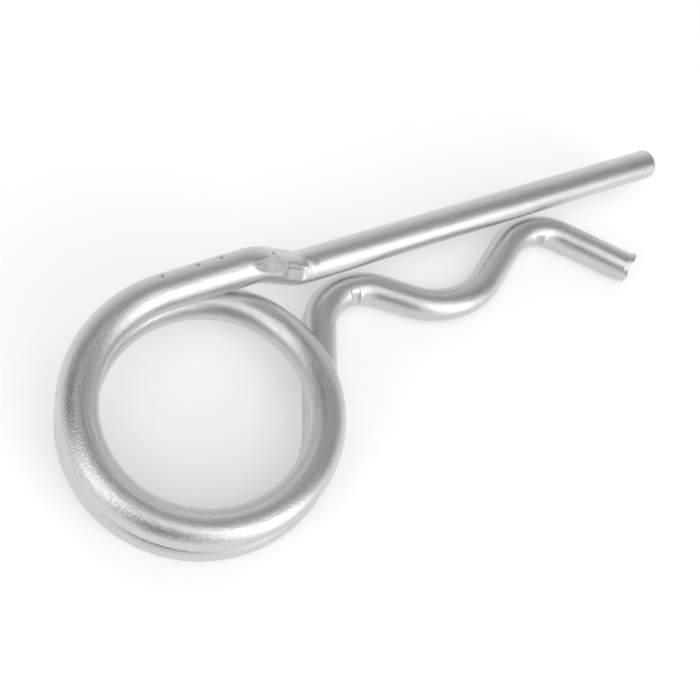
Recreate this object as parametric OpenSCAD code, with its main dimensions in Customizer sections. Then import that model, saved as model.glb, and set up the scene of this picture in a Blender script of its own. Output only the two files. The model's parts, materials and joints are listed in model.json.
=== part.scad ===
// Hitch R clip with a double coil, lying as it comes to rest.
//
// It is one round spring wire, cold bent from end to end: a straight leg, a step up by one
// wire, a coil of nearly two turns, and a wavy leg whose two humps grip the pin.
//
// The wire is described as on a bending sheet. Each row of BENDS is [roll, feed, bend, radius]:
// roll the wire about its own axis, feed it forward, then bend it by that angle round that
// radius. A positive bend turns it to its own left, a negative one to its right.

/* [Wire] */
// Diameter of the spring wire
wire_d = 4; // [3:0.1:4]
// Chamfer round the cut end of the straight leg
tip_chamfer = 0.5; // [0.1:0.1:1]

/* [Straight leg] */
// Length from the tip to the foot of the step
leg_l = 55; // [48:0.5:80]

/* [Step] */
// How steeply the wire climbs from the leg to the coil, in degrees
step_angle = 38; // [30:1:45]
// Bend radius at the foot and at the head of the step
step_r = 3; // [2.6:0.1:4]
// Straight wire between the two bends of the step
step_l = 5.4; // [5.4:0.1:7.0]
// Straight wire between the step and the coil
lead_l = 9; // [7.0:0.5:14]

/* [Coil] */
// Mean radius of the coil where the wire enters it
coil_r = 12.4; // [11.4:0.1:14]
// How much the coil has sprung open by the time the wire leaves it
coil_growth = 0.4; // [0:0.1:0.6]
// How far the coil turns the wire, in degrees
coil_turn = 605; // [590:5:605]
// How far the coil sinks in each turn
coil_pitch = 4.13; // [4.11:0.01:4.4]
// How far the coil leans out of the plane of the legs, in degrees
coil_lean = 1.6; // [0:0.1:2]

/* [Wavy leg] */
// Straight wire that rises out of the coil
rise_l = 12.5; // [12:0.5:14]
// Roll of the wire between the coil and the first hump, in degrees
wave_roll = -0.95; // [-1.6:0.05:-0.6]
// Bend radius of the first hump
hump_1_r = 6; // [5.5:0.25:6.25]
// Angle of the first hump
hump_1_angle = 104; // [103:0.5:106]
// Straight wire from the first hump down to the seat
fall_l = 4; // [3.5:0.25:5]
// Bend radius of the seat that cradles the pin
seat_r = 9.75; // [9:0.25:10.5]
// Angle of the seat
seat_angle = 72; // [70:0.5:72.5]
// Straight wire from the seat up to the second hump
climb_l = 6.5; // [5.5:0.25:6.5]
// Bend radius of the second hump
hump_2_r = 6.75; // [6.25:0.25:7]
// Angle of the second hump
hump_2_angle = 80.5; // [78:0.5:90]
// Straight tail that guides the clip over the pin
tail_l = 10.25; // [6:0.25:14]

/* [Tool marks] */
// How deep the bending tool has flattened the step
flat_depth = 0.25; // [0.1:0.05:0.3]
// How deep the tool has nipped the inside of each hump
nip_depth = 0.2; // [0.1:0.05:0.3]
// How deep the sheared end of the tail is dished
dish_depth = 0.35; // [0.1:0.05:0.5]

/* [Rest] */
// Lean about the straight leg at which the clip lies still, in degrees
rest_lean = 4.7; // [4:0.1:5.5]

/* [Hidden] */

$fn = 64;
wire_r = wire_d / 2;
spring_zinc = "#c4c7cb";

// Between two rows of the wire a ball closes a small gap. The ball is this much larger than the
// wire, so that the solids meet in clean circles.
row_gap = 0.06;
ball_rise = 0.02;

// Coil: the wire goes round in equal short bends, each rolled a little to keep the pitch.
coil_bends = 11;
coil_mean_r = coil_r + coil_growth / 2;
coil_slope = atan(coil_pitch / (2 * PI * coil_mean_r));
coil_step = coil_turn / coil_bends;
coil_twist = -sin(coil_slope) * coil_step;
coil_entry_roll = -90 + coil_lean + coil_twist / 2;
coil_rows = [
    for (i = [0 : coil_bends - 1])
        let (bend_r = coil_r + coil_growth * i / (coil_bends - 1))
        [
            i == 0 ? coil_entry_roll : coil_twist,
            0,
            coil_step * cos(coil_slope),
            bend_r / pow(cos(coil_slope), 2)
        ]
];

BENDS = concat(
    [
        [0, leg_l, step_angle, step_r],
        [0, step_l, -(step_angle + coil_slope), step_r],
        [0, lead_l, 0, 0]
    ],
    coil_rows,
    [
        [wave_roll + coil_twist / 2, rise_l, -hump_1_angle, hump_1_r],
        [0, fall_l, seat_angle, seat_r],
        [0, climb_l, -hump_2_angle, hump_2_r],
        [0, tail_l, 0, 0]
    ]
);
STEP_ROW = 1;
HUMP_1_ROW = 3 + coil_bends;
HUMP_2_ROW = HUMP_1_ROW + 2;

// Placements are 4 x 4 matrices: X is the way the wire runs and Y is its left-hand side.
function rolled(a) = [
    [1, 0, 0, 0],
    [0, cos(a), -sin(a), 0],
    [0, sin(a), cos(a), 0],
    [0, 0, 0, 1]
];
function fed(l) = [
    [1, 0, 0, l],
    [0, 1, 0, 0],
    [0, 0, 1, 0],
    [0, 0, 0, 1]
];
function bent(a, r) = [
    [cos(a), -sin(a), 0, r * sin(abs(a))],
    [sin(a), cos(a), 0, sign(a) * r * (1 - cos(a))],
    [0, 0, 1, 0],
    [0, 0, 0, 1]
];
function row_start(at, row) = at * rolled(row[0]);
function row_end(at, row) = row_start(at, row) * fed(row[1]) * bent(row[2], row[3]);
function placements(rows, at, i = 0) =
    i == len(rows) ? [at] : concat([at], placements(rows, row_end(at, rows[i]), i + 1));

// The leg starts at its tip and runs towards -X, with the step climbing towards +Z.
TIP = [
    [-1, 0, 0, leg_l],
    [0, 0, 1, 0],
    [0, 1, 0, 0],
    [0, 0, 0, 1]
];
LEAN = rolled(rest_lean);
PLACES = placements(BENDS, LEAN * TIP);

// Points along the middle of the wire give the extents, for the origin under the clip.
SAMPLES = 12;
function place_point(m) = [m[0][3], m[1][3], m[2][3]];
MIDLINE = [
    for (i = [0 : len(BENDS) - 1], k = [0 : SAMPLES])
        let (row = BENDS[i], t = k / SAMPLES)
        place_point(row_start(PLACES[i], row) * fed(row[1]) * bent(row[2] * t, row[3]))
];
function axis_values(n) = [for (p = MIDLINE) p[n]];
origin_x = (min(axis_values(0)) - wire_r + leg_l) / 2;
origin_y = (min(axis_values(1)) + max(axis_values(1))) / 2;
origin_z = min(axis_values(2)) - wire_r;

// Straight wire running along +X.
module straight_wire(from, to) {
    translate([from, 0, 0]) rotate([0, 90, 0]) cylinder(h = to - from, r = wire_r);
}

// Wire bent to the left, round the given radius, between two angles.
module left_bend(from, to, bend_r) {
    translate([0, bend_r, 0])
        rotate([0, 0, from - 90])
        rotate_extrude(angle = to - from)
        translate([bend_r, 0])
        circle(r = wire_r);
}

function gap_angle(bend_r) = row_gap * 180 / (PI * bend_r);

// One row of the bending sheet: the straight stretch, then the bend after it, to the left for a
// positive angle and to the right for a negative one.
module wire_row(row, start_gap, end_gap) {
    if (row[1] > 0)
        straight_wire(start_gap, row[2] == 0 ? row[1] - end_gap : row[1]);
    if (row[2] != 0)
        translate([row[1], 0, 0])
        mirror([0, row[2] < 0 ? 1 : 0, 0])
        left_bend(
            row[1] > 0 ? 0 : gap_angle(row[3]),
            abs(row[2]) - gap_angle(row[3]),
            row[3]
        );
}

module bent_up_wire() {
    last = len(BENDS) - 1;
    for (i = [0 : last]) {
        multmatrix(row_start(PLACES[i], BENDS[i]))
            wire_row(BENDS[i], i == 0 ? 0 : row_gap, i == last ? 0 : row_gap);
        if (i > 0) multmatrix(PLACES[i]) rotate([0, 90, 0]) sphere(r = wire_r + ball_rise);
    }
}

module tip_chamfer_ring() {
    reach = 1;
    multmatrix(PLACES[0]) rotate([0, 90, 0]) difference() {
        translate([0, 0, -reach]) cylinder(h = reach + tip_chamfer, r = wire_r + reach);
        translate([0, 0, -reach])
            cylinder(
                h = reach + tip_chamfer,
                r1 = wire_r - tip_chamfer - reach,
                r2 = wire_r
            );
    }
}

// The tool has flattened the crown of the step's upper bend, turned a little off its top. The cut
// stands square to the wire a little way into that bend.
module step_flat() {
    flat_roll = -30;
    flat_share = 0.25;
    flat_l = 6;
    row = BENDS[STEP_ROW];
    multmatrix(
        row_start(PLACES[STEP_ROW], row) * fed(row[1]) * bent(row[2] * flat_share, row[3])
    )
        rotate([flat_roll, 0, 0])
        translate([-flat_l / 2, wire_r - flat_depth, -wire_d / 2])
        cube([flat_l, wire_d, wire_d]);
}

// A small groove across the inside of a bend, where the tool's corner pressed the wire.
module inside_nip(row_number, share) {
    nip_r = 0.7;
    row = BENDS[row_number];
    multmatrix(
        row_start(PLACES[row_number], row) * fed(row[1]) * bent(row[2] * share, row[3])
    )
        translate([0, sign(row[2]) * (wire_r - nip_depth + nip_r), -wire_d / 2])
        cylinder(h = wire_d, r = nip_r);
}

// Shearing the wire off left a shallow dish in the end of the tail.
module tail_dish() {
    dish_edge_r = wire_r - 0.25;
    dish_r = (pow(dish_edge_r, 2) + pow(dish_depth, 2)) / (2 * dish_depth);
    multmatrix(PLACES[len(BENDS)])
        translate([dish_r - dish_depth, 0, 0])
        sphere(r = dish_r);
}

module r_clip() {
    color(spring_zinc)
        translate([-origin_x, -origin_y, -origin_z])
        difference() {
            bent_up_wire();
            tip_chamfer_ring();
            step_flat();
            inside_nip(HUMP_1_ROW, 0.7);
            inside_nip(HUMP_2_ROW, 0.66);
            tail_dish();
        }
}

r_clip();
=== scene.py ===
# %% [markdown]
# # A hitch R clip in bright zinc
#
# The real thing is one length of 4 mm spring wire. A bending machine feeds it, rolls it and bends
# it: a straight leg, a step, a coil of nearly two turns, then a wavy leg with two humps. The
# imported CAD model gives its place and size. This lesson makes the same wire again with the small
# marks that the tools left on it, gives it its zinc plate, and sets up a table-top studio.

import json
import math

import bpy
import numpy as np
from mathutils import Matrix, Quaternion, Vector


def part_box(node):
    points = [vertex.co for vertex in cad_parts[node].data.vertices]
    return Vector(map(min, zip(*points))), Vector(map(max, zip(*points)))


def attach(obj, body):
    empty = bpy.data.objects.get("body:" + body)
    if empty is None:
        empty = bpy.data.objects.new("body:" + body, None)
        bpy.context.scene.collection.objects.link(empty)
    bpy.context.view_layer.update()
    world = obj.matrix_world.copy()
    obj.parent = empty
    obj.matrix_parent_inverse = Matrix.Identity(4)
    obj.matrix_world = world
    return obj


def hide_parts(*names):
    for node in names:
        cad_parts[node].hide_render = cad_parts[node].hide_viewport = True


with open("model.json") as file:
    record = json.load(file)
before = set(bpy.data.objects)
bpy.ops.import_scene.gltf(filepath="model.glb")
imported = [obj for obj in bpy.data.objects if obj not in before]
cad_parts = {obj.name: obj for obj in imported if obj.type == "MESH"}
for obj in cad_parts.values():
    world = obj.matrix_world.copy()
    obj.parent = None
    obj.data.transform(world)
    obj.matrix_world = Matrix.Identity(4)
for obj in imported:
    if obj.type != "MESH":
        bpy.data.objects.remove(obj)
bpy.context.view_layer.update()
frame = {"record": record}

# %% [markdown]
# ## Where the wire starts
#
# The tip of the straight leg is the start of the wire. Its height and its place across the clip
# come from the record's straight leg, and its place along the clip is the end of the CAD box.
# Everything else follows from the bends. The lengths are in millimetres while the wire is bent,
# and become metres when the mesh is made.

# %% The start of the wire
MM = 0.001
wire_r = 2.0
rest_lean = 4.7  # degrees that the clip leans about its straight leg as it lies
leg = [m for m in frame["record"]["mounts"] if m["name"] == "straight_leg"][0]
clip_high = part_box("r_clip")[1]
tip_point = np.array([clip_high.x, leg["pos_m"][1], leg["pos_m"][2]]) / MM
print("the tip is at", tip_point.round(2), "mm")

# %% [markdown]
# ## The bending sheet
#
# A wire part is drawn most simply as a bending sheet: roll the wire, feed it forward, bend it
# round a radius. A curve object with handles could draw the same shape, but its tightest bends
# would wander. A coil is many equal short bends with a small roll between them, which is just
# what the machine does.

# %% The rows of the coil
coil_bends, coil_turn, coil_pitch, coil_lean = 44, 605.0, 4.093, 1.47
coil_r, coil_growth = 12.4, 0.41
coil_slope = math.degrees(math.atan(coil_pitch / (2 * math.pi * (coil_r + coil_growth / 2))))
coil_step = coil_turn / coil_bends
coil_twist = -math.sin(math.radians(coil_slope)) * coil_step
level_share = math.cos(math.radians(coil_slope))


def coil_rows():
    """Each row is (roll, feed, bend, radius), in degrees and millimetres."""
    first_roll = -90 + coil_lean + coil_twist / 2
    for i in range(coil_bends):
        roll = coil_twist if i else first_roll
        radius = coil_r + coil_growth * i / (coil_bends - 1)
        yield (roll, 0, coil_step * level_share, radius / level_share**2)


print("the coil slopes by", round(coil_slope, 2), "degrees")

# %% The whole bending sheet
step_angle, step_r = 38, 3
wave_roll = -1.4
leg_rows = [
    (0, 55, step_angle, step_r),  # the straight leg, then up at the foot of the step
    (0, 5.4, -(step_angle + coil_slope), step_r),  # the climb, then level at the step's head
    (0, 9, 0, 0),  # the lead into the coil
]
wave_rows = [
    (wave_roll + coil_twist / 2, 12.5, -104, 6),  # the rise and the first hump
    (0, 4, 72, 9.75),  # down to the seat that hugs the pin
    (0, 6.5, -80.5, 6.75),  # up to the second hump
    (0, 10.25, 0, 0),  # the straight tail
]
bending_sheet = leg_rows + list(coil_rows()) + wave_rows
LEG_ROW, STEP_ROW = 0, 1
HUMP_1_ROW = len(leg_rows) + coil_bends
HUMP_2_ROW = HUMP_1_ROW + 2
TAIL_ROW = len(bending_sheet) - 1
print(len(bending_sheet), "rows in the bending sheet")

# %% [markdown]
# ## From rows to places along the wire
#
# A four-by-four matrix holds a place on the wire: its first column runs along the wire, the
# second is the wire's left and the third its top. Each row multiplies the matrix by a roll, a
# feed and a bend. The rolls are added up and taken out again, so that rings round the wire line
# up from one end to the other and the draw lines never jump.

# %% Rolling, feeding and bending
def rolled(angle):
    c, s = math.cos(math.radians(angle)), math.sin(math.radians(angle))
    return np.array([[1, 0, 0, 0], [0, c, -s, 0], [0, s, c, 0], [0, 0, 0, 1.0]])


def fed(length):
    place = np.eye(4)
    place[0, 3] = length
    return place


def bent(angle, radius):
    """A bend of less than half a turn: to the left if positive, to the right if negative."""
    c, s = math.cos(math.radians(angle)), math.sin(math.radians(angle))
    sideways = math.copysign(radius * (1 - c), angle)
    return np.array(
        [[c, -s, 0, radius * abs(s)], [s, c, 0, sideways], [0, 0, 1, 0], [0, 0, 0, 1.0]]
    )


print("a quarter bend of radius 10 ends at", bent(90, 10)[:2, 3].round(2), "mm")

# %% Walk along the wire
start = np.array([[-1, 0, 0, 0], [0, 0, 1, 0], [0, 1, 0, 0], [0, 0, 0, 1.0]])
start = rolled(rest_lean) @ start
start[:3, 3] = tip_point

row_starts, row_rolls, row_lengths = [], [], []
place, total_roll = start, 0.0
for roll, feed, bend, radius in bending_sheet:
    total_roll += roll
    row_starts.append(place @ rolled(roll))
    row_rolls.append(total_roll)
    row_lengths.append(feed + math.radians(abs(bend)) * radius)
    place = row_starts[-1] @ fed(feed)
    if bend:
        place = place @ bent(bend, radius)
row_reach = np.concatenate([[0], np.cumsum(row_lengths)])
wire_length = row_reach[-1]
print("the wire is", round(wire_length, 2), "mm long")


def place_on_wire(reach):
    """The place at a distance from the tip, with the rolls taken out."""
    n = min(int(np.searchsorted(row_reach, reach, side="right")) - 1, TAIL_ROW)
    _, feed, bend, radius = bending_sheet[n]
    local = reach - row_reach[n]
    here = row_starts[n] @ fed(min(local, feed))
    if local > feed and bend:
        turned = math.degrees((local - feed) / radius)
        here = here @ bent(math.copysign(turned, bend), radius)
    return here @ rolled(-row_rolls[n])


# %% [markdown]
# ## Where the tools left their marks
#
# Cold bending presses the wire against pins and corners. Each mark is given by its distance from
# the tip and by the side of the wire it is on, as an angle round the wire. A mark is a true dent
# in the mesh, because a bump in the material would not change the outline.

# %% The marks along the wire
def reach_in_bend(row, share):
    """The distance from the tip to a point in a row's bend."""
    feed = bending_sheet[row][1]
    return row_reach[row] + feed + (row_lengths[row] - feed) * share


def side_of_wire(row, angle):
    """Turns an angle from the row's own left into an angle round the whole wire."""
    return math.radians(angle + row_rolls[row])


nips = [
    (reach_in_bend(HUMP_1_ROW, 0.65), side_of_wire(HUMP_1_ROW, 158)),
    (reach_in_bend(HUMP_2_ROW, 0.58), side_of_wire(HUMP_2_ROW, 170)),
]
flat_reach, flat_side = 62.3, side_of_wire(STEP_ROW, -32)
saddle_side = side_of_wire(STEP_ROW, -52)
foot_reach, foot_side = 54.6, side_of_wire(LEG_ROW, -40)
creases = [side_of_wire(STEP_ROW, -20), side_of_wire(STEP_ROW, -34)]
# Each nick is (distance from the tip, angle from the step's own left, length, width).
lead_nicks = [(73.3, 33, 0.2, 0.35), (69.5, 33, 0.16, 0.3), (66.9, 35, 0.2, 0.35)]
flat_nick = (62.3, 8, 0.2, 0.2)
nicks = lead_nicks + [flat_nick]
print("nips at", [round(n[0], 1) for n in nips], "mm, flat at", flat_reach, "mm")

# %% [markdown]
# ## How closely the rings stand
#
# The whole wire is a tube of rings. Straight stretches need few rings, bends need more, and the
# marks need many, because a dent is only as crisp as the rings that cross it.

# %% Ring positions
first_ring = 0.75  # just behind the rounded tip
usual_gap, step_gap, nick_gap, press_gap, least_gap = 0.45, 0.12, 0.08, 0.06, 0.045
nip_margin, nick_margin = 1.2, 0.6
before_foot, past_flat = 1.2, 2.4
tail_zone = 1.3  # the stretch before the cut that the shear has reshaped
tail_gap = 0.02  # between the last whole ring and the cut


def ring_positions():
    spots = [np.arange(first_ring, wire_length - tail_zone, usual_gap)]
    for centre, _ in nips:
        spots.append(np.arange(centre - nip_margin, centre + nip_margin, press_gap))
    spots.append(np.arange(foot_reach - before_foot, flat_reach + past_flat, step_gap))
    for centre, _, _, _ in lead_nicks:
        spots.append(np.arange(centre - nick_margin, centre + nick_margin, nick_gap))
    spots.append(np.arange(wire_length - tail_zone, wire_length - tail_gap, press_gap))
    every = np.sort(np.concatenate(spots))
    keep = [every[0]]
    for spot in every[1:]:
        if spot - keep[-1] > least_gap:
            keep.append(spot)
    return np.array(keep)


body_rings = ring_positions()
print(len(body_rings), "rings along the wire")

# %% [markdown]
# ## The two ends
#
# The tip was cut square and its edge was rolled over into a small rounded chamfer, so that it
# finds the cross hole of a pin. The tail was sheared off: the blade left a lip on one side, a
# scoop on the other and a shallow dish between them. Both ends are closed by rings that shrink
# to the middle.

# %% The rings of both ends
def rounded_tip(chamfer=0.65, stretch=1.05, steps=9):
    """(reach, radius) pairs from the middle of the end face out to the full wire."""
    face = [(0.0, r) for r in (0.02, 0.35, 0.7, 1.0, 1.2)]
    inner_r = wire_r - chamfer
    rolled_edge = []
    for turn in np.linspace(0, math.pi / 2, steps):
        reach = chamfer * (1 - math.cos(turn)) * stretch
        rolled_edge.append((reach, inner_r + chamfer * math.sin(turn)))
    return face + rolled_edge


tip_rings = rounded_tip()
tail_rings = [(wire_length, r) for r in (1.97, 1.9, 1.8, 1.65, 1.45, 1.2, 0.9, 0.6, 0.3, 0.02)]
rings = tip_rings + [(reach, wire_r) for reach in body_rings] + tail_rings
reaches, radii = np.array(rings).T
print(len(rings), "rings with both ends")

# %% [markdown]
# ## Points round each ring
#
# Seventy-two points go evenly round each ring. A few more stand close together on the side where
# the step is creased, so that the creases stay crisp.

# %% Angles round the wire
even_points = 72
even = np.arange(even_points) * 2 * math.pi / even_points
close = side_of_wire(STEP_ROW, -27) + np.radians(np.arange(-14, 15, 2))
candidates = np.sort(np.concatenate([even, close]) % (2 * math.pi))
least_turn = math.radians(1.1)
angles = candidates[np.append(np.diff(candidates) > least_turn, True)]
around = len(angles)
print(around, "points round each ring")

# %% [markdown]
# ## Pressing the marks into the wire
#
# The tube is kept as tables with one row for each ring and one column for each angle: how far
# each point is from the wire's middle, from the tip, and round the wire. A flat or a nip is a cut
# across the wire: no point may stand further out, in the direction of the tool, than the tool's
# face. A little of the pressed metal stands up beside it.

# %% The tables, and a way to press a flat
radius_at = np.repeat(radii[:, None], around, axis=1)
reach_at = np.repeat(reaches[:, None], around, axis=1)
angle_at = np.repeat(angles[None, :], len(reaches), axis=0)
# How dark each point is painted: bare metal where a tool broke the plate, and painted shade in the
# dents.
worn_and_shaded = np.zeros_like(radius_at)
NO_LIMIT = 99
grazing = 0.2  # where the tool's face would only graze the wire, it doesn't cut


def smooth(low, high, value):
    t = np.clip((value - low) / (high - low), 0, 1)
    return t * t * (3 - 2 * t)


def between(rise, fall, value):
    """0 before the rise, 1 from its end to the start of the fall, and 0 again after it."""
    return smooth(*rise, value) * (1 - smooth(*fall, value))


def bump_shape(distance, width):
    """1 in the middle, fading out over a width, as a soft mark does."""
    return np.exp(-((distance / width) ** 2))


def press(radius, side, face):
    """Cuts the tube back to a face that stands square to one side of the wire."""
    facing = np.cos(angle_at - side)
    limit = np.where(facing > grazing, face / np.maximum(facing, grazing), NO_LIMIT)
    return np.minimum(radius, limit)


print("tables of", radius_at.shape[0], "rings by", radius_at.shape[1], "points")

# %% Press the flat and the saddle beside it
flat_depth, flat_half_length = 0.26, 2.0
saddle_depth = 0.20
raised_r = wire_r + 0.002  # a face at this distance doesn't touch the wire
flat_fade = np.clip(1 - ((reach_at - flat_reach) / flat_half_length) ** 2, 0, 1)
radius_at = press(radius_at, flat_side, raised_r - flat_depth * flat_fade)
saddle_fade = between((55.4, 56.4), (59.2, 61.2), reach_at)
radius_at = press(radius_at, saddle_side, raised_r - saddle_depth * saddle_fade)
print("the flat is", flat_depth, "mm deep and the saddle", saddle_depth, "mm")

# %% Press the nips
nip_depth, nip_flat_half, nip_half = 0.24, 0.45, 0.72
nip_climb = 0.9  # how fast the floor climbs beyond its flat middle
nip_edge_at, nip_edge_width, edge_wear_and_shade = 0.74, 0.09, 0.5
# Each ridge of pressed metal is (height, distance past the nip, width).
nip_ridges = [(0.09, -0.85, 0.16), (0.04, 0.85, 0.14)]
for nip_reach, nip_side in nips:
    along = reach_at - nip_reach
    facing_tool = np.clip(np.cos(angle_at - nip_side), 0, 1) ** 8
    for ridge_height, ridge_at, ridge_width in nip_ridges:
        ridge = bump_shape(along - ridge_at, ridge_width)
        radius_at = radius_at + ridge_height * facing_tool * ridge
    side_climb = nip_climb * np.clip(np.abs(along) - nip_flat_half, 0, 1) ** 2
    nip_floor = wire_r - nip_depth + side_climb
    nip_face = np.where(np.abs(along) < nip_half, nip_floor, NO_LIMIT)
    radius_at = press(radius_at, nip_side, nip_face)
    nip_edges = bump_shape(np.abs(along) - nip_edge_at, nip_edge_width)
    # The nip edges are painted dark: partly worn plate, partly painted shade in the dent.
    worn_and_shaded = np.maximum(worn_and_shaded, edge_wear_and_shade * facing_tool * nip_edges)
print("deepest mark", round(float((radii[:, None] - radius_at).max()), 3), "mm")

# %% [markdown]
# ## Nicks at the step
#
# The corner of the forming tool touched the top of the step four times, creased its side twice,
# and left a faint ridge where the leg starts to climb. None is deeper than 0.15 mm.

# %% Dent the nicks and the creases
nick_depth = 0.15
crease_depth, crease_width, crease_wear_and_shade = 0.07, 0.13, 0.5


def distance_round(side):
    """How far each point is from one side of the wire, measured round it."""
    return np.abs((angle_at - side + math.pi) % (2 * math.pi) - math.pi) * wire_r


for nick_reach, nick_angle, nick_length, nick_width in nicks:
    nick_side = side_of_wire(STEP_ROW, nick_angle)
    away = ((reach_at - nick_reach) / nick_length) ** 2
    away = away + (distance_round(nick_side) / nick_width) ** 2
    radius_at = radius_at - nick_depth * np.exp(-away)
    # The nicks are painted dark: partly bare metal, partly painted shade in the dents.
    worn_and_shaded = np.maximum(worn_and_shaded, np.exp(-away))
for crease_side in creases:
    crease = between((56.8, 57.3), (59.8, 60.3), reach_at)
    crease = crease * bump_shape(distance_round(crease_side), crease_width)
    radius_at = radius_at - crease_depth * crease
    # The creases are painted dark: partly worn plate, partly painted shade in the grooves.
    worn_and_shaded = np.maximum(worn_and_shaded, crease_wear_and_shade * crease)
print("nicks at", [n[0] for n in nicks], "mm")

# %% Raise the ridge at the foot of the step
foot_height = 0.08
foot_shape = between((-1.0, 0.0), (0.1, 0.6), reach_at - foot_reach)
foot_facing = np.clip(np.cos(angle_at - foot_side), 0, 1) ** 2
radius_at = radius_at + foot_height * foot_shape * foot_facing
print("the ridge is", foot_height, "mm high, at", foot_reach, "mm")

# %% [markdown]
# ## The sheared tail
#
# The blade came down on the upper side of the tail. It drew a thin lip out on the side that faces
# the straight leg, bit a scoop out of the top beside it, and left the middle dished. The last
# rings are moved along the wire to make this.

# %% Where the shear pushed the metal
dish_depth, lip_height, scoop_depth, hollow_depth = 0.34, 0.12, 0.42, 0.14
flare_out, flare_zone = 0.24, 0.8
burr_height, burr_back, burr_width = 0.07, 0.75, 0.12
tear_height, tear_closeness = 0.03, 11  # the faint torn ridges across the cut


def rim_spot(angle, size):
    """1 at a spot on the cut's rim, at an angle from the tail's own left, fading away from it."""
    side = side_of_wire(TAIL_ROW, angle)
    dx = radius_at * np.cos(angle_at) - wire_r * math.cos(side)
    dy = radius_at * np.sin(angle_at) - wire_r * math.sin(side)
    return np.exp(-(dx**2 + dy**2) / size**2)


print("the scoop is", scoop_depth, "mm deep and the lip", lip_height, "mm long")

# %% Shear the tail
near_end = smooth(wire_length - tail_zone, wire_length, reach_at)
on_cut = smooth(wire_length - tail_gap, wire_length, reach_at)
dish = -dish_depth * (1 - np.clip(radius_at / wire_r, 0, 1) ** 2)
lip = lip_height * rim_spot(58, 0.9)
scoop = -scoop_depth * rim_spot(125, 0.7)
across_tears = radius_at * np.cos(angle_at - side_of_wire(TAIL_ROW, 150))
tears = tear_height * np.sin(across_tears * tear_closeness) * on_cut
flare_fade = smooth(wire_length - flare_zone, wire_length, reach_at)
flare = flare_out * flare_fade * rim_spot(50, 1.0)
upper_side = np.clip(np.cos(angle_at - side_of_wire(TAIL_ROW, 95)), 0, 1) ** 3
burr = burr_height * upper_side * bump_shape(reach_at - wire_length + burr_back, burr_width)
hollow = -hollow_depth * near_end * rim_spot(115, 0.8)
reach_at = reach_at + near_end * (dish + lip + scoop) + tears
radius_at = radius_at + flare + hollow + burr
cut_reach = reach_at[-len(tail_rings):] - wire_length
print("the cut runs from", cut_reach.min().round(2), "to", cut_reach.max().round(2), "mm")

# %% [markdown]
# ## Making the mesh
#
# Every ring becomes a ring of points at its place on the wire, and neighbouring rings are joined
# by quads. A curve with a round bevel would be quicker, but it could not carry the dents.

# %% Build the wire
def wire_points():
    points = np.zeros((len(reaches), around, 3))
    for n, reach in enumerate(reaches):
        here = place_on_wire(min(reach, wire_length))
        moved = (reach_at[n] - reach)[:, None] * here[:3, 0]
        out = (radius_at[n] * np.cos(angles))[:, None] * here[:3, 1]
        out = out + (radius_at[n] * np.sin(angles))[:, None] * here[:3, 2]
        points[n] = here[:3, 3] + moved + out
    return points.reshape(-1, 3)


def ring_quads(count):
    """The faces between each ring and the next, as lists of point numbers."""
    ring = np.arange(count - 1)[:, None] * around
    here = np.arange(around)[None, :]
    beside = (here + 1) % around
    next_ring = ring + around
    quads = np.stack([ring + here, next_ring + here, next_ring + beside, ring + beside], axis=-1)
    return quads.reshape(-1, 4).tolist()


points = wire_points()
faces = ring_quads(len(reaches))
tip_cap = len(faces)
faces.append(list(range(around)))
faces.append(list(range(len(points) - around, len(points)))[::-1])
wire_mesh = bpy.data.meshes.new("clip_wire")
wire_mesh.from_pydata((points * MM).tolist(), [], faces)
wire_mesh.update()
for face in wire_mesh.polygons:
    face.use_smooth = True
clip_wire = bpy.data.objects.new("clip_wire", wire_mesh)
bpy.context.scene.collection.objects.link(clip_wire)
print(len(points), "points,", len(faces), "faces")

# %% [markdown]
# ## A map of the straight wire
#
# The lines and the plate were on the wire before it was bent, so a texture laid on the bent clip
# would run across it. Each point keeps its place on the straight wire as an attribute, and how
# worn it is, with the painted shade of its dents, as another, and the materials read both.

# %% Keep each point's place on the unbent wire
unbent = np.stack(
    [reach_at, radius_at * np.cos(angle_at), radius_at * np.sin(angle_at)], axis=-1
)
unbent_layer = wire_mesh.attributes.new("unbent", "FLOAT_VECTOR", "POINT")
unbent_layer.data.foreach_set("vector", unbent.astype(np.float32).ravel())
worn_and_shaded_layer = wire_mesh.attributes.new("worn_and_shaded", "FLOAT", "POINT")
worn_and_shaded_layer.data.foreach_set("value", worn_and_shaded.astype(np.float32).ravel())
print("unbent places kept for", unbent.size // 3, "points")

# %% [markdown]
# ## Grain: a shared effect
#
# Zinc plate on drawn wire has two textures. The die drew fine lines along the wire before it was
# plated, and the plate itself is faintly grainy, so the edge of every reflection breaks up into
# specks. One node group makes both from the place on the unbent wire. The cut end uses the same
# group with other numbers.

# %% Small helpers for nodes
def new_group(name, inputs, outputs):
    group = bpy.data.node_groups.new(name, "ShaderNodeTree")
    for label, kind, value in inputs:
        socket = group.interface.new_socket(label, in_out="INPUT", socket_type=kind)
        if value is not None:
            socket.default_value = value
    for label, kind in outputs:
        group.interface.new_socket(label, in_out="OUTPUT", socket_type=kind)
    return group, group.nodes.new("NodeGroupInput"), group.nodes.new("NodeGroupOutput")


def noise(tree, vector, scale, detail=2.0, rough=0.5):
    node = tree.nodes.new("ShaderNodeTexNoise")
    node.inputs["Scale"].default_value = scale
    node.inputs["Detail"].default_value = detail
    node.inputs["Roughness"].default_value = rough
    tree.links.new(vector, node.inputs["Vector"])
    return node.outputs["Fac"]


def worked_out(tree, operation, a, b):
    """A Math node; each of a and b is a number or another node's output."""
    node = tree.nodes.new("ShaderNodeMath")
    node.operation = operation
    for socket, value in zip(node.inputs, (a, b)):
        if isinstance(value, (int, float)):
            socket.default_value = value
        else:
            tree.links.new(value, socket)
    return node.outputs[0]


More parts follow.
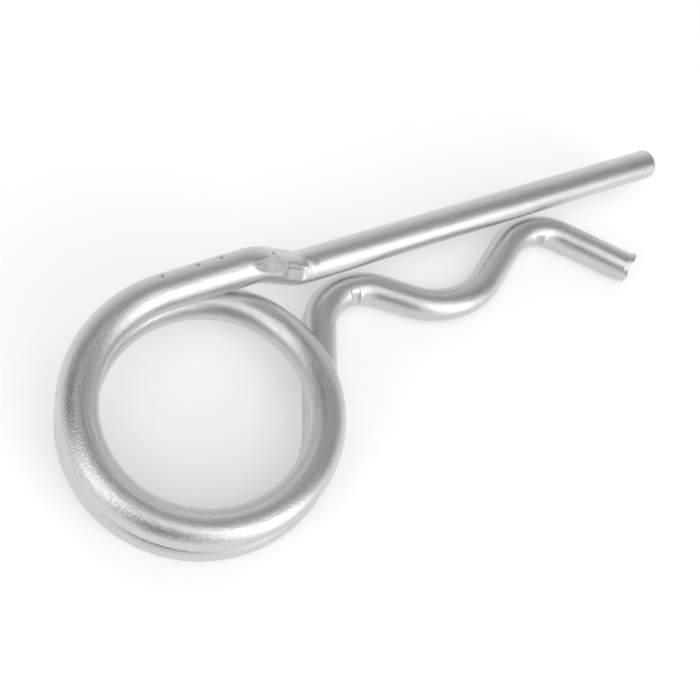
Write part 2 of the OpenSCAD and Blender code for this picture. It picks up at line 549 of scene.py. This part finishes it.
def stretched(tree, vector, along):
    """Scales a place along the wire only; a small number draws a texture out into lines."""
    node = tree.nodes.new("ShaderNodeVectorMath")
    node.operation = "MULTIPLY"
    node.inputs[1].default_value = (along, 1.0, 1.0)
    tree.links.new(vector, node.inputs[0])
    return node.outputs[0]


def ranged(tree, value, low, high, from_low=0.3, from_high=0.7):
    """Turns a value between from_low and from_high into one between low and high."""
    node = tree.nodes.new("ShaderNodeMapRange")
    node.inputs["From Min"].default_value = from_low
    node.inputs["From Max"].default_value = from_high
    node.inputs["To Min"].default_value = low
    node.inputs["To Max"].default_value = high
    tree.links.new(value, node.inputs["Value"])
    return node.outputs["Result"]


print("five small node helpers are ready")

# %% The draw line and grain group
FLOAT, VECTOR = "NodeSocketFloat", "NodeSocketVector"
grain, grain_in, grain_out = new_group(
    "drawn_wire_grain",
    [("Unbent Place", VECTOR, None), ("Line Depth", FLOAT, 1.0), ("Grain Depth", FLOAT, 1.0)],
    [("Height", FLOAT), ("Lines", FLOAT), ("Grain", FLOAT)],
)
flat_place = grain_in.outputs["Unbent Place"]
lines = noise(grain, stretched(grain, flat_place, 0.035), scale=5.0, detail=3.0, rough=0.6)
specks = noise(grain, stretched(grain, flat_place, 0.8), scale=7.5, detail=2.0, rough=0.65)
specks = ranged(grain, specks, 0.0, 1.0)
line_height = worked_out(grain, "MULTIPLY", lines, grain_in.outputs["Line Depth"])
speck_height = worked_out(grain, "MULTIPLY", specks, grain_in.outputs["Grain Depth"])
skin_height = worked_out(grain, "ADD", line_height, speck_height)
grain.links.new(skin_height, grain_out.inputs["Height"])
grain.links.new(lines, grain_out.inputs["Lines"])
grain.links.new(specks, grain_out.inputs["Grain"])
print("the grain group has", len(grain.nodes), "nodes")

# %% [markdown]
# ## Bright zinc plate
#
# The plate is a neutral, slightly soft mirror. The metal itself hardly changes colour: what
# changes is how sharp it is. Draw lines and specks tilt the surface a little, and a slow
# variation along the wire makes some stretches a shade duller, as thin plate is. The nicks,
# creases and nip edges are painted dark: partly bare metal where a tool broke the plate, partly
# painted shade in the dents.

# %% What both metals share
def mixed_colour(tree, share, first, second):
    """Mixes a fixed second colour over the first, which is fixed or another node's output."""
    node = tree.nodes.new("ShaderNodeMix")
    node.data_type = "RGBA"
    if isinstance(first, tuple):
        node.inputs["A"].default_value = (*first, 1)
    else:
        tree.links.new(first, node.inputs["A"])
    node.inputs["B"].default_value = (*second, 1)
    tree.links.new(share, node.inputs["Factor"])
    return node.outputs["Result"]


def metal_material(name, line_depth, grain_depth, bump_mm=0.02):
    material = bpy.data.materials.new(name)
    material.use_nodes = True
    tree = material.node_tree
    skin = tree.nodes["Principled BSDF"]
    skin.inputs["Metallic"].default_value = 1.0
    unbent_place = tree.nodes.new("ShaderNodeAttribute")
    unbent_place.attribute_name = "unbent"
    texture = tree.nodes.new("ShaderNodeGroup")
    texture.node_tree = grain
    texture.inputs["Line Depth"].default_value = line_depth
    texture.inputs["Grain Depth"].default_value = grain_depth
    tree.links.new(unbent_place.outputs["Vector"], texture.inputs["Unbent Place"])
    bump = tree.nodes.new("ShaderNodeBump")
    bump.inputs["Strength"].default_value = 1.0
    bump.inputs["Distance"].default_value = bump_mm * MM
    tree.links.new(texture.outputs["Height"], bump.inputs["Height"])
    tree.links.new(bump.outputs["Normal"], skin.inputs["Normal"])
    return material, tree, skin, unbent_place, texture


zinc, tree, skin, place_node, texture = metal_material("bright_zinc", 0.5, 0.95)
print("bright zinc starts with", len(tree.nodes), "nodes")

# %% The colours of the zinc
dull_plate, clean_plate = (0.60, 0.603, 0.607), (0.655, 0.657, 0.66)
# The second grey is the near-black of the tool marks: partly bare metal, partly painted shade.
streak_grey, bare_and_shade_grey = (0.43, 0.432, 0.436), (0.14, 0.14, 0.145)
patches = noise(tree, stretched(tree, place_node.outputs["Vector"], 0.12), scale=0.5)
tone = ranged(tree, patches, 0.0, 1.0)
plate = mixed_colour(tree, tone, dull_plate, clean_plate)
streaks = ranged(tree, texture.outputs["Lines"], 0.35, 0.0, 0.32, 0.5)
plate = mixed_colour(tree, streaks, plate, streak_grey)
wear_and_shade_node = tree.nodes.new("ShaderNodeAttribute")
wear_and_shade_node.attribute_name = "worn_and_shaded"
# Darkens the nicks, creases and nip edges: partly wear, partly painted shade.
wear_and_shade_share = worked_out(tree, "MULTIPLY", wear_and_shade_node.outputs["Fac"], 0.75)
plate = mixed_colour(tree, wear_and_shade_share, plate, bare_and_shade_grey)
skin_rough = ranged(tree, texture.outputs["Lines"], 0.17, 0.10)
tree.links.new(plate, skin.inputs["Base Color"])
tree.links.new(skin_rough, skin.inputs["Roughness"])
wire_mesh.materials.append(zinc)
print("bright zinc has", len(tree.nodes), "nodes")

# %% [markdown]
# ## The sheared end
#
# The cut face of the tail is torn steel with a thin wash of zinc: a little darker, duller and
# coarser than the drawn skin. It takes the last bands of the mesh.

# %% The sheared steel material
sheared, tree, skin, _, texture = metal_material("sheared_steel", 0.3, 1.5)
high_cut, low_cut = (0.57, 0.57, 0.575), (0.47, 0.47, 0.475)
cut_tone = mixed_colour(tree, texture.outputs["Grain"], high_cut, low_cut)
cut_rough = ranged(tree, texture.outputs["Grain"], 0.22, 0.36, 0.0, 1.0)
tree.links.new(cut_tone, skin.inputs["Base Color"])
tree.links.new(cut_rough, skin.inputs["Roughness"])
wire_mesh.materials.append(sheared)
ZINC_SLOT, CUT_SLOT = 0, 1
first_cut_face = (len(reaches) - len(tail_rings)) * around
for face in wire_mesh.polygons:
    on_the_cut = face.index >= first_cut_face and face.index != tip_cap
    face.material_index = CUT_SLOT if on_the_cut else ZINC_SLOT
print(sum(face.material_index for face in wire_mesh.polygons), "faces of the cut")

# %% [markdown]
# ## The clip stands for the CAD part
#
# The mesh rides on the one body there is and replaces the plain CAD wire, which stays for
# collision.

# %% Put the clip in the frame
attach(clip_wire, "root")
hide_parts("r_clip")
print(clip_wire.name, "stands for the CAD wire")

# %% [markdown]
# ## The floor
#
# A plain, pale floor: a matt sheet that glows faintly, painted light that lifts its shadows so
# that the clip hardly shades it. The underside of the wire mirrors it, so its brightness is part
# of the look of the metal.

# %% Make the floor
floor_half = 3.0
corners = [(-1, -1), (1, -1), (1, 1), (-1, 1)]
floor_mesh = bpy.data.meshes.new("floor")
floor_mesh.from_pydata(
    [(x * floor_half, y * floor_half, 0) for x, y in corners], [], [(0, 1, 2, 3)]
)
floor = bpy.data.objects.new("floor", floor_mesh)
bpy.context.scene.collection.objects.link(floor)
floor_paint = bpy.data.materials.new("floor_paint")
floor_paint.use_nodes = True
paint = floor_paint.node_tree.nodes["Principled BSDF"]
paint.inputs["Base Color"].default_value = (0.86, 0.86, 0.86, 1)
# The glow is painted light: it lifts the floor's shadows and brightens what the wire mirrors.
paint.inputs["Emission Color"].default_value = (1, 1, 1, 1)
paint.inputs["Emission Strength"].default_value = 0.22
paint.inputs["Roughness"].default_value = 0.9
paint.inputs["Specular IOR Level"].default_value = 0.1
floor_mesh.materials.append(floor_paint)
print("the floor is", 2 * floor_half, "m wide")

# %% [markdown]
# ## The studio
#
# A bright metal wire shows its surroundings as long stripes, so the light is set by what each
# side of the wire should mirror. A tall soft box low on the near side gives the white stripe. A
# second one beside the coil and a small one overhead light the coil. A wide one above fills the
# shade, and the wire doesn't mirror it.

# %% The soft boxes
def towards(azimuth, elevation):
    a, e = math.radians(azimuth), math.radians(elevation)
    return Vector((math.cos(e) * math.cos(a), math.cos(e) * math.sin(a), math.sin(e)))


def soft_box(name, azimuth, elevation, distance, width, height, radiance, lean=0):
    light = bpy.data.lights.new(name, "AREA")
    light.shape = "RECTANGLE"
    light.size, light.size_y = width, height
    light.energy = radiance * math.pi * width * height
    box = bpy.data.objects.new(name, light)
    out = towards(azimuth, elevation)
    box.location = out * distance
    facing_clip = (-out).to_track_quat("-Z", "Y")
    box.rotation_euler = (facing_clip @ Quaternion((0, 0, 1), math.radians(lean))).to_euler()
    bpy.context.scene.collection.objects.link(box)
    print(name, "stands at", [round(v, 2) for v in box.location], "m")
    return box


soft_box(
    "near_soft_box", azimuth=-71, elevation=29, distance=0.6,
    width=0.36, height=0.66, radiance=1.6, lean=22,
)
soft_box(
    "coil_soft_box", azimuth=-168, elevation=52, distance=0.6,
    width=0.25, height=0.60, radiance=1.4,
)
soft_box(
    "top_soft_box", azimuth=-86, elevation=67, distance=0.6,
    width=0.24, height=0.20, radiance=1.3,
)
fill = soft_box(
    "fill_light", azimuth=0, elevation=90, distance=1.4,
    width=1.8, height=1.8, radiance=0.35,
)
fill.visible_glossy = False

# %% [markdown]
# ## The room
#
# Between the soft boxes the wire mirrors the room. It is pale round the horizon and a quiet grey
# towards the ceiling. Three darker places, as a studio has in its corners, give the wire its
# darker stripes. An evenly lit room would make the metal look flat.

# %% A way to shade one part of the room
world = bpy.data.worlds.new("room")
bpy.context.scene.world = world
world.use_nodes = True
room = world.node_tree
backdrop = room.nodes["Background"]
looking = room.nodes.new("ShaderNodeTexCoord").outputs["Generated"]


def closeness(direction, near, far):
    """1 up to near degrees from a direction, fading to 0 at far degrees."""
    dot = room.nodes.new("ShaderNodeVectorMath")
    dot.operation = "DOT_PRODUCT"
    dot.inputs[1].default_value = direction
    room.links.new(looking, dot.inputs[0])
    fade = room.nodes.new("ShaderNodeMapRange")
    fade.interpolation_type = "SMOOTHSTEP"
    fade.inputs["From Min"].default_value = math.cos(math.radians(far))
    fade.inputs["From Max"].default_value = math.cos(math.radians(near))
    room.links.new(dot.outputs["Value"], fade.inputs["Value"])
    return fade.outputs["Result"]


print("the room starts with", len(room.nodes), "nodes")

# %% Paint the room
split = room.nodes.new("ShaderNodeSeparateXYZ")
room.links.new(looking, split.inputs[0])
heights = room.nodes.new("ShaderNodeValToRGB")
heights.color_ramp.interpolation = "EASE"
ramp = heights.color_ramp.elements
ramp[0].position, ramp[0].color = 0.0, (0.90, 0.90, 0.90, 1)
ramp[1].position, ramp[1].color = 1.0, (0.44, 0.44, 0.44, 1)
for spot, grey in ((0.5, 0.90), (0.75, 0.82), (0.93, 0.46)):
    ramp.new(spot).color = (grey, grey, grey, 1)
half = worked_out(room, "MULTIPLY", split.outputs["Z"], 0.5)
room.links.new(worked_out(room, "ADD", half, 0.5), heights.inputs["Fac"])
dark_corner = closeness(towards(143, 52), near=6, far=28)
shaded = mixed_colour(room, dark_corner, heights.outputs["Color"], (0.12, 0.12, 0.125))
dim_side = closeness(towards(-18, 42), near=12, far=42)
shaded = mixed_colour(room, dim_side, shaded, (0.42, 0.42, 0.425))
dark_gap = closeness(towards(-128, 25), near=8, far=30)
shaded = mixed_colour(room, dark_gap, shaded, (0.25, 0.25, 0.255))
room.links.new(shaded, backdrop.inputs["Color"])
backdrop.inputs["Strength"].default_value = 1.0
print("the room has", len(room.nodes), "nodes")

# %% [markdown]
# ## The camera
#
# The clip is seen from close above its coil end, a hand's width away, with the camera turned a
# little so that the straight leg climbs across the frame.

# %% Set the camera
camera_spot = Vector((-0.048382, -0.027962, 0.088205))
looks = Vector((0.42520, 0.29880, -0.85429)).normalized()
right = Vector((0.85260, -0.44892, 0.26742))
right = (right - looks * right.dot(looks)).normalized()
up = right.cross(looks)
lens = bpy.data.cameras.new("camera")
lens.sensor_width = 36
lens.lens = 43.774
lens.shift_x, lens.shift_y = -0.0429, -0.0143
lens.clip_start, lens.clip_end = 0.005, 50
camera = bpy.data.objects.new("camera", lens)
turn = Matrix((right, up, -looks)).transposed().to_4x4()
camera.matrix_world = Matrix.Translation(camera_spot) @ turn
bpy.context.scene.collection.objects.link(camera)
bpy.context.scene.camera = camera
bpy.context.scene.view_settings.view_transform = "Standard"
print("the camera is", round(camera_spot.length / MM), "mm from the middle of the clip")
